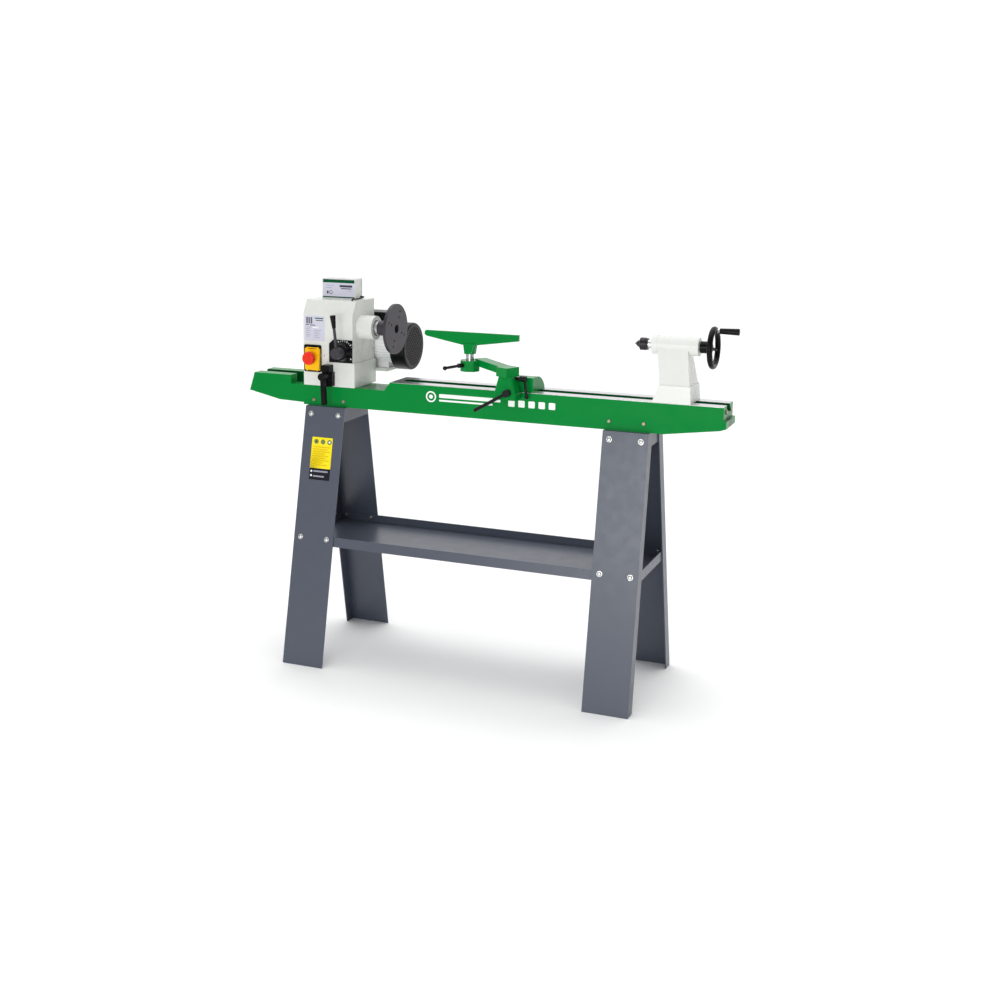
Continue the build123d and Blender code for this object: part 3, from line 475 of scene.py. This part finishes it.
stripes = ((7, 4.5), (13, 1.6), (16.5, 3.2), (21.5, 1.2), (24.5, 4.0))     # start and width
dark_ink, green_ink, white_ink, grey_ink = 1, 2, 3, 4       # places in the material list below
bars(head_face, [(label_left + u, label_high - 26, label_left + u + wide, label_high - 5)
                 for u, wide in stripes], dark_ink)
bars(head_face, [(-561.5, 1096, -531, 1099.5), (-558, 1089.5, -531, 1092)], green_ink)
bars(head_face, [(-595, 1074, -583, 1076.5), (-579, 1073.5, -560, 1076)], dark_ink)
bars(head_face, [(-570, 1065.5, -548, 1069)], white_ink)
lines = []
for u, v, lengths in ((-595, 1067, (20, 15, 18, 12, 17, 14)), (-564, 1058, (26, 18, 23, 15, 20))):
    for row, length in enumerate(lengths):
        lines.append((u, v - 6 * row, u + length, v + 1.6 - 6 * row))
bars(head_face, lines, grey_ink)
add_mesh("headstock_label", bm, [label_silver, print_dark, print_green, print_white, print_grey],
         "headstock")

# ---------------------------------------------------------------- front panel of the control box
box_low, box_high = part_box("control_box")
panel_face = Face((0, box_low.y, 0), (1, 0, 0), (0, 0, 1))
panel = [box_low.x / MM + 2.5, box_low.z / MM + 2.5, box_high.x / MM - 2.5, box_high.z / MM - 2.5]
bm = bmesh.new()
raise_outline(bm, panel_face, rectangle(*panel, 2), SUNK, FILM)
left, low, right, high = panel
green_ink, dark_ink, grey_ink = 1, 2, 3
bars(panel_face, [(left + 0.6, high - 12, right - 0.6, high - 1.5),
                  (left + 0.6, low + 1, right - 0.6, low + 5)], green_ink)
bars(panel_face, [(right - 55, high - 26, right - 9, high - 19),
                  (right - 50, high - 32, right - 12, high - 29)], dark_ink)
bars(panel_face, [(left + 12, high - 22, left + 42, high - 20.5),
                  (left + 12, high - 30, left + 34, high - 28.5),
                  (right - 24, high - 38, right - 10, high - 37)], grey_ink)
raise_ring(bm, panel_face, left + 30, low + 18, 4.4, 6.2, FILM - BITE, FILM + PRINT, dark_ink)
bars(panel_face, [(left + 15, low + 13, left + 21, low + 23)], dark_ink)
add_mesh("control_box_panel", bm, [label_silver, print_green, print_dark, print_grey],
         "headstock")

seam_face = Face((box_high.x, box_high.y, 0), (0, 1, 0), (0, 0, 1))
bm = bmesh.new()
seam = rectangle(-2.6, box_low.z / MM + 1, -1.0, box_high.z / MM - 1)
raise_outline(bm, seam_face, seam, SUNK, 0.3)
add_mesh("control_box_gasket", bm, [looks["rubber"]], "headstock")

# ---------------------------------------------------------------- notice on the front left leg
leg_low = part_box("leg_front_left")[0]
foot = Vector((0, leg_low.y, 0))
top_y = -78.5 * MM
leg_up = Vector((0, top_y - leg_low.y, bed_low.z)).normalized()
leg_face = Face(foot, (1, 0, 0), leg_up)
notice_left, notice_right = -551.5, -477.0
notice_low, notice_high = 629.0, 729.0
ochre, black, sage, white_ink, grey_ink = 1, 2, 3, 4, 5
bm = bmesh.new()
raise_outline(bm, leg_face, rectangle(notice_left, notice_low - 37, notice_right, notice_low, 2),
              SUNK, FILM, black)
raise_outline(bm, leg_face, rectangle(notice_left, notice_low, notice_right, notice_high, 2),
              SUNK, FILM)
for step, inner in enumerate((2.5, 0.0, 3.5)):
    centre = (notice_left + 16 + 24 * step, notice_high - 14)
    raise_outline(bm, leg_face, disc(*centre, 8.2), FILM - BITE, FILM + PRINT, sage)
    if inner:
        raise_outline(bm, leg_face, disc(*centre, inner), FILM, FILM + 2 * PRINT,
                      black if step == 0 else white_ink)
bars(leg_face, [(notice_left + 6, notice_high - 33 - 7.2 * row,
                 notice_left + 6 + (60, 52, 62, 46, 58, 50, 61, 40, 56)[row],
                 notice_high - 29.5 - 7.2 * row) for row in range(9)], ochre)
bars(leg_face, [(notice_left + 14, notice_low - 12, notice_right - 8, notice_low - 7),
                (notice_left + 14, notice_low - 28, notice_right - 20, notice_low - 23)], grey_ink)
for drop in (10, 24):
    raise_outline(bm, leg_face, disc(notice_left + 7, notice_low - drop, 3.4), FILM, FILM + PRINT,
                  white_ink)
add_mesh("leg_notice", bm, [warn_yellow, warn_ochre, warn_black, warn_sage, print_white,
                            print_grey], "stand")

# ---------------------------------------------------------------- scale on the speed dial
dial_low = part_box("speed_dial_plate")[0]
dial_face = Face((0, dial_low.y, 0), (1, 0, 0), (0, 0, 1))
collar_low, collar_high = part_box("speed_dial_collar")
dial_u = (collar_low.x + collar_high.x) / 2 / MM
dial_v = (collar_low.z + collar_high.z) / 2 / MM
bm = bmesh.new()
for step in range(13):
    angle = radians(118 - 13 * step)
    inner, outer = (33.0, 37.0) if step % 2 else (33.0, 38.5)
    limit = 1 / max(abs(cos(angle)) / 31.0, abs(sin(angle)) / 36.5, 1 / outer)
    if limit < inner + 1.5:
        continue
    half = 0.9 if step % 2 else 1.4
    side = (-sin(angle) * half, cos(angle) * half)
    corners = [(dial_u + r * cos(angle) + s * side[0], dial_v + r * sin(angle) + s * side[1])
               for r, s in ((inner, -1), (limit, -1), (limit, 1), (inner, 1))]
    raise_outline(bm, dial_face, corners, SUNK, PRINT)
add_mesh("speed_dial_marks", bm, [print_white], "headstock")


# ---------------------------------------------------------------- turned and headed small parts
def spin(bm, profile, centre, out):
    """Turn a (radius, height) profile, millimetres, about a line through a point."""
    steps = 28
    out = Vector(out).normalized()
    side = out.orthogonal().normalized()
    other = out.cross(side)
    rings = []
    for radius, height in profile:
        ring = []
        for i in range(steps if radius else 1):
            angle = 2 * pi * i / steps
            offset = side * cos(angle) + other * sin(angle)
            ring.append(bm.verts.new(Vector(centre) + (offset * radius + out * height) * MM))
        rings.append(ring)
    for first, second in zip(rings, rings[1:]):
        for i in range(steps):
            j = (i + 1) % steps
            corners = [first[i % len(first)], first[j % len(first)],
                       second[j % len(second)], second[i % len(second)]]
            unique = list(dict.fromkeys(corners))
            if len(unique) > 2:
                bm.faces.new(unique)


def dome_bolt(bm, centre, out):
    """Round-head bolt on a washer, with its shank through the sheets."""
    spin(bm, [(0, -16), (4, -16), (4, 0), (9, 0), (9, 1.0), (8.4, 1.5), (7.2, 1.5), (7.2, 2.3),
              (6.6, 3.8), (5.2, 4.9), (3.0, 5.5), (0, 5.7)], centre, out)


bolt_rows = {788.4: 21.9, 398.0: 23.6}      # height, distance from the leg's edge
foot_y, lean_slope = -leg_low.y / MM, (top_y - leg_low.y) / bed_low.z
bm = bmesh.new()
for leg in ("leg_front_left", "leg_rear_left", "leg_front_right", "leg_rear_right"):
    low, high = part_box(leg)
    side = -1 if low.y < 0 else 1
    outward = (0, side * leg_up.z, leg_up.y)
    for height, inset in bolt_rows.items():
        y = side * (foot_y - lean_slope * height)
        for x in (low.x / MM + inset, high.x / MM - inset):
            dome_bolt(bm, (x * MM, y * MM, height * MM), outward)
bolts = add_mesh("leg_bolt_set", bm, [looks["zinc_fasteners"]], "stand", 0.0002)
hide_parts("leg_bolts")

bm = bmesh.new()
spin(bm, [(0, -3), (2.2, -3), (2.2, 0), (4.6, 0), (4.4, 1.4), (3.4, 2.4), (1.6, 2.8), (0, 2.8)],
     (-476.6 * MM, -27 * MM, head_high.z), (0, 0, 1))
add_mesh("top_screw", bm, [looks["zinc_fasteners"]], "headstock", 0.0001)

# ---------------------------------------------------------------- floor, light and camera
def area(name, place, target, size, energy):
    """Soft rectangular light aimed at a point."""
    light = bpy.data.lights.new(name, "AREA")
    light.shape = "RECTANGLE"
    light.size, light.size_y = size
    light.energy = energy
    obj = bpy.data.objects.new(name, light)
    aim = (Vector(target) - Vector(place)).to_track_quat("-Z", "Y")
    obj.matrix_world = Matrix.Translation(place) @ aim.to_matrix().to_4x4()
    obj.visible_camera = False
    bpy.context.scene.collection.objects.link(obj)


floor_mesh = bpy.data.meshes.new("floor")
floor_sides, floor_front, floor_back = 40.0, -3.2, 60.0
floor_mesh.from_pydata([(-floor_sides, floor_front, 0), (floor_sides, floor_front, 0),
                        (floor_sides, floor_back, 0), (-floor_sides, floor_back, 0)],
                       [], [(0, 1, 2, 3)])
floor = bpy.data.objects.new("floor", floor_mesh)
bpy.context.scene.collection.objects.link(floor)
look = Look("floor_paper", (0.95, 0.95, 0.95, 1), 0.9, specular=0.1)
look.bump(look.noise(40, 2.0), 0.05, 0.001)
floor_mesh.materials.append(look.done())

# world: white behind the lathe, dimmer in front of it and to its right
world = bpy.data.worlds.new("studio")
world.use_nodes = True
bpy.context.scene.world = world
tree = world.node_tree
background = tree.nodes["Background"]
background.inputs["Color"].default_value = (1, 1, 1, 1)
split = tree.nodes.new("ShaderNodeSeparateXYZ")
tree.links.new(tree.nodes.new("ShaderNodeTexCoord").outputs["Generated"], split.inputs[0])


def ramp(source, low, high, to_low, to_high):
    node = tree.nodes.new("ShaderNodeMapRange")
    node.interpolation_type = "SMOOTHSTEP"
    tree.links.new(source, node.inputs[0])
    for socket, value in zip(node.inputs[1:], (low, high, to_low, to_high)):
        socket.default_value = value
    return node.outputs[0]


product = tree.nodes.new("ShaderNodeMath")
product.operation = "MULTIPLY"
tree.links.new(ramp(split.outputs[1], -0.25, 0.35, 0.50, 1.08), product.inputs[0])
tree.links.new(ramp(split.outputs[0], 0.20, 0.95, 1.0, 0.60), product.inputs[1])
tree.links.new(product.outputs[0], background.inputs["Strength"])

sun = bpy.data.lights.new("overhead", "SUN")
sun.energy = 1.45
sun.angle = radians(75)
overhead = bpy.data.objects.new("overhead", sun)
overhead.rotation_euler = (radians(-8), radians(-6), 0)
bpy.context.scene.collection.objects.link(overhead)
area("front_softbox", (0.3, -4.2, 1.15), (0.3, 0, 1.15), (2.6, 0.95), 64)

bpy.context.scene.view_settings.view_transform = "Standard"

camera_data = bpy.data.cameras.new("camera")
camera = bpy.data.objects.new("camera", camera_data)
camera_data.sensor_width = 36.0
camera_data.lens = 48.91
camera_data.shift_y = -0.18
camera_data.clip_end = 100.0
view_right = Vector((0.92873084, 0.370622, 0.00991783))
view_up = Vector((-0.05139242, 0.10219846, 0.9934356))
view_back = Vector((0.3671755, -0.92314398, 0.11396202))
turn = Matrix((view_right, view_up, view_back)).transposed().to_4x4()
camera.matrix_world = Matrix.Translation((1.61128, -3.90119, 1.59908)) @ turn
bpy.context.scene.collection.objects.link(camera)
bpy.context.scene.camera = camera
